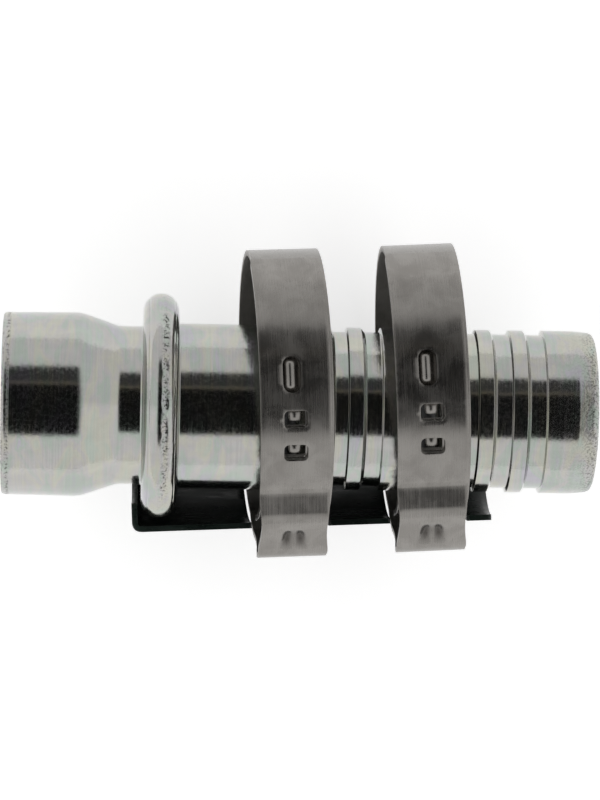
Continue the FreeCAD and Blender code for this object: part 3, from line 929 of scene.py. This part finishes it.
def pressing(u, v):
    """How far the strip's middle is pressed out at a point of the blank, in millimetres."""
    out = 0.0
    for _, across, root in LANCES:
        rise = (root + 0.3 - u) / (HOOK_LONG + 0.3)
        if 0 < rise <= 1.05 and abs(v - across) < 0.9:
            dome = max(0.0, 1 - 0.6 * ((v - across) / HOOK_HALF) ** 2)
            out += HOOK_HEIGHT * math.sin(min(1.0, rise) * math.pi * 0.75) * dome
    rib = on_inner(sum(SLOT_SPAN) / 2)
    off = (v - SLOT_ASIDE + 0.04 + 2 * ASKEW) / RIB_HALF
    out += RIB_HEIGHT * hill(u - rib, RIB_LONG, RIB_END) * max(0.0, 1 - abs(off) ** 2)
    return out - DIMPLE_DEPTH * dimple_at(u, v)


# The same lobes also mask the painted shade that darkens the dimple in the stainless material.
def dimple_at(u, v):
    """The ear's dimple: two lobes that splay towards the crest, 1 at their deepest."""
    along = (u - ear_starts - DIMPLE_ALONG * (ear_ends - ear_starts)) / DIMPLE_HALF
    if abs(along) >= 1:
        return 0.0
    splay = LOBE_ASIDE - LOBE_SPLAY * along
    return (dip(v - splay, LOBE_HALF) + dip(v + splay, LOBE_HALF)) * hill(along, 1.0, 0.85)


def aside_at(u):
    """How far the strip lies to the side at u, because the clamp is askew."""
    return ASIDE + ASKEW * (1 - 2 * u / strip_length)


def strip_place(to_frame):
    def place(u, v, w):
        middle, normal = on_line(strip_line, strip_at, strip_normals, u)
        point = middle + normal * (w + pressing(u, v))
        return to_frame @ (Vector((v + aside_at(u), point.x, point.y)) * MM) / MM
    return place


# %% Bend the clamps
ROLLS = {"clamp_1": 0.0, "clamp_2": -0.8}
LANCES = [lance(span) for span in WINDOW_SPANS]


def zone(middle, half_along, aside, half_across):
    return (middle - half_along, aside - half_across), (middle + half_along, aside + half_across)


def make_clamps():
    holes = [window(SLOT_SPAN, SLOT_WIDTH, SLOT_WIDTH / 2 - 0.05, SLOT_ASIDE)]
    holes += [window(span, WINDOW_WIDTH, WINDOW_CORNER, WINDOW_ASIDE) for span in WINDOW_SPANS]
    holes += [outline for outline, _, _ in LANCES]
    ear_dimple = ear_starts + DIMPLE_ALONG * (ear_ends - ear_starts)
    rib = on_inner(sum(SLOT_SPAN) / 2)
    zones = [zone(ear_dimple, 1.8, 0.0, 2.0), zone(rib, 2.2, SLOT_ASIDE - 0.4, 1.3)]
    zones += [zone(on_inner(sum(span) / 2), 1.5, WINDOW_ASIDE - 0.4, 1.5) for span in WINDOW_SPANS]
    blank = cut_blank(strip_outline(), holes, 0.42, zones, FINE)
    for node, body in CLAMP_NODES.items():
        place = strip_place(clamp_matrix(body, ROLLS[body]))
        name = node.replace("ear_clamp", "strip_clamp")
        # dimple_at goes in as the pressed mask too, so the dimple's lobes get painted shade.
        clamp = bend_sheet(name, blank, place, STRIP, stainless, EDGE_ROUND, dimple_at)
        report(clamp)
        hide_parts(node)
        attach(clamp, body)


make_clamps()

# %% [markdown]
# ## The clip cage
# The cage is one pressed sheet: a trough that lies along the hose, notched for the two clamps, with its end
# turned in behind the stem's bead. Its line is drawn along the stem first, from the nose end to the
# flange's foot, and the blank's other direction is the angle round the stem.

# %% Bend the cage
SHEET = 0.6
CAGE_GAP = 0.09
CAGE_FROM, CAGE_TO = 87.0, 205.0
CAGE_FRONT = 32.3
CAGE_HOOK_GAP = 0.8
CAGE_BEND_R = 0.3
CAGE_NECK_GAP = 1.1
CAGE_PLACE = (0.0, -0.66, -0.6)
CAGE_ABOUT_Z, CAGE_ABOUT_Y = 2.9, -1.5
NOTCH_BACK, NOTCH_AHEAD, NOTCH_UNDER = 0.2, 0.6, 0.2
CAGE_CORNER = 0.35

cage_mid = bead_r + CAGE_GAP + SHEET / 2
cage_to_frame = Matrix.Translation(Vector(CAGE_PLACE)) @ Matrix.Rotation(math.radians(CAGE_ABOUT_Z), 4, "Z")
cage_to_frame = cage_to_frame @ Matrix.Rotation(math.radians(CAGE_ABOUT_Y), 4, "Y")
flange_x = -(BEAD_WIDTH + CAGE_HOOK_GAP) - SHEET / 2
flange_foot = NECK_R + CAGE_NECK_GAP
cage_line = [Vector((CAGE_FRONT, cage_mid))] + fillet(
    Vector((CAGE_FRONT, cage_mid)), Vector((flange_x, cage_mid)), Vector((flange_x, flange_foot)),
    CAGE_BEND_R + SHEET / 2, 8) + [Vector((flange_x, flange_foot))]
cage_at = np.concatenate([[0.0], np.cumsum([(b - a).length for a, b in zip(cage_line, cage_line[1:])])])
cage_normals = [-n for n in sampled_normals(cage_line)]
cage_normals[0], cage_normals[1] = Vector((0, 1)), Vector((0, 1))
cage_normals[-1], cage_normals[-2] = Vector((-1, 0)), Vector((-1, 0))


def cage_place(u, v, w):
    """u runs from the front end to the flange's foot, and v round the stem, measured on the trough."""
    middle, normal = on_line(cage_line, cage_at, cage_normals, u)
    point = middle + normal * w
    around = ring_point(point.y, math.degrees(v / cage_mid))
    return cage_to_frame @ Vector((point.x, around.x, around.y))


def notch(body):
    """A clamp's notch in the blank: where the clamp crosses the trough, and how far round it cuts."""
    to_clamp = clamp_matrix(body, 0).inverted()
    ahead, behind = STRIP_WIDTH / 2 + NOTCH_AHEAD, -STRIP_WIDTH / 2 - NOTCH_BACK

    def seen(u, degrees):
        place = cage_place(u, math.radians(degrees) * cage_mid, 0) * MM
        return (to_clamp @ place) / MM

    def crossing(degrees, offset):
        low, high = 0.0, cage_at[1]
        for _ in range(30):
            middle = (low + high) / 2
            low, high = (middle, high) if seen(middle, degrees).x > offset else (low, middle)
        return low
    reach = next(d for d in np.arange(CAGE_FROM, CAGE_TO, 0.25)
                 if math.hypot(*seen(crossing(d, 0.0), d).yz) < clamp_r - NOTCH_UNDER)
    turns = np.linspace(CAGE_FROM, reach, 12)
    near_side = [(crossing(d, ahead), math.radians(d) * cage_mid) for d in turns]
    far_side = [(crossing(d, behind), math.radians(d) * cage_mid) for d in turns]
    print(body, "notch reaches", round(float(reach), 1), "degrees")
    return near_side, far_side


def cage_blank():
    low, high = math.radians(CAGE_FROM) * cage_mid, math.radians(CAGE_TO) * cage_mid
    end = float(cage_at[-1])
    corners = [(0.0, low, CAGE_CORNER)]
    for body in ("clamp_2", "clamp_1"):
        near_side, far_side = notch(body)
        corners += [(*near_side[0], CAGE_CORNER)] + [(*p, 0.0) for p in near_side[1:-1]]
        corners += [(*near_side[-1], CAGE_CORNER), (*far_side[-1], CAGE_CORNER)]
        corners += [(*p, 0.0) for p in far_side[-2:0:-1]] + [(*far_side[0], CAGE_CORNER)]
    corners += [(end, low, CAGE_CORNER), (end, high, CAGE_CORNER), (0.0, high, CAGE_CORNER)]
    bend = (cage_at[1] - 0.1, low), (cage_at[-2] + 0.1, high)
    return cut_blank(rounded_outline(corners), [], 0.6, [bend], FINE)


cage = bend_sheet("pressed_clip_cage", cage_blank(), cage_place, SHEET, blackened, 0.1)
report(cage)
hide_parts("clip_cage")
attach(cage, "cage")

# %% [markdown]
# ## Floor and light
# The fitting lies on an opal acrylic light table, as small parts do for a clean white ground: the sheet
# glows from below and also takes the soft shadows. Two wide soft lights stand along the fitting, with the
# dark of the room between them overhead, so polished metal shows a dark band along its top with light on
# both sides of it. The room is a world texture that depends only on direction, so it lights every view
# alike.

# %% Floor
low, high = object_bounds()
FLOOR_HALF = 3.0


def make_floor():
    signs = ((-1, -1), (1, -1), (1, 1), (-1, 1))
    corners = [(x * FLOOR_HALF, y * FLOOR_HALF) for x, y in signs]
    floor = object_from("light_table", [(x, y, low.z) for x, y in corners], [], [(0, 1, 2, 3)])
    material, tree, skin = new_material("acrylic_opal_lit_from_below", Emission_Strength=0.55,
                                        Emission_Color=grey(1.0), Roughness=0.6)
    haze = pattern(tree, (40.0, 40.0, 40.0), detail=1.0)
    base = add_node(tree, RAMP, [haze], stops=[(0.3, grey(0.84)), (0.7, grey(0.86))])
    tree.links.new(base, skin["Base Color"])
    floor.data.materials.append(material)


make_floor()

# %% Light
DARK_TURN = (-40.0, 48.0)       # degrees about the stem's axis, from straight up: towards -Y and towards +Y
DARK_ALONG = (-20.0, 20.0)      # degrees along the stem, towards the socket and towards the nose
DARK_SOFT = 5.0                 # degrees that an edge takes about the axis
FADE = 16.0                     # and along it
DARK_LEVEL = 0.008
DIM_LEVEL = 0.05                # beyond the gap of light, towards +Y
GLINT_AT, GLINT_HALF, GLINT_LEVEL = 26.0, 3.0, 0.16      # a faint gap of light inside the dark
BRIGHT_LEVEL, FAR_LEVEL = 1.0, 0.86      # the light towards -Y, and the one towards +Y


def edge_of(tree, angle, at, rising, soft=DARK_SOFT):
    """0 on one side of an angle and 1 on the other, with a soft edge between."""
    low, high = math.radians(at - soft / 2), math.radians(at + soft / 2)
    ends = (0.0, 1.0) if rising else (1.0, 0.0)
    return add_node(tree, RANGE, [angle, low, high, *ends], **SOFT)


def make_world():
    world = bpy.data.worlds.new("studio")
    bpy.context.scene.world = world
    world.use_nodes = True
    tree = world.node_tree
    x, y, z = add_node(tree, "ShaderNodeSeparateXYZ", [add_node(tree, "ShaderNodeTexCoord")]).node.outputs
    about = add_node(tree, MATH, [y, z], operation="ARCTAN2")
    along = add_node(tree, MATH, [x, z], operation="ARCTAN2")
    dark = edge_of(tree, about, DARK_TURN[0], True)
    edges = ((about, DARK_TURN[1], False, DARK_SOFT), (along, DARK_ALONG[0], True, FADE),
             (along, DARK_ALONG[1], False, FADE))
    for angle, at, rising, soft in edges:
        dark = add_node(tree, MATH, [dark, edge_of(tree, angle, at, rising, soft)], operation="MULTIPLY")
    offset = add_node(tree, MATH, [about, math.radians(GLINT_AT)], operation="SUBTRACT")
    offset = add_node(tree, MATH, [offset], operation="ABSOLUTE")
    glint = add_node(tree, RANGE, [offset, 0.0, math.radians(GLINT_HALF), GLINT_LEVEL, 0.0], **SOFT)
    beyond = edge_of(tree, about, GLINT_AT, True)
    ceiling = add_node(tree, MIX, {0: beyond, 6: grey(DARK_LEVEL), 7: grey(DIM_LEVEL)}, **COLOURS)
    inside_dark = add_node(tree, MIX, {0: glint, 6: ceiling, 7: colour("#FFF3DC")}, **COLOURS)
    overhead = edge_of(tree, about, 0.0, True)
    side = add_node(tree, MIX, {0: overhead, 6: grey(BRIGHT_LEVEL), 7: grey(FAR_LEVEL)}, **COLOURS)
    sky = add_node(tree, MIX, {0: dark, 6: side, 7: inside_dark}, **COLOURS)
    tree.links.new(sky, tree.nodes["Background"].inputs["Color"])
    bpy.context.scene.view_settings.view_transform = "Standard"


make_world()
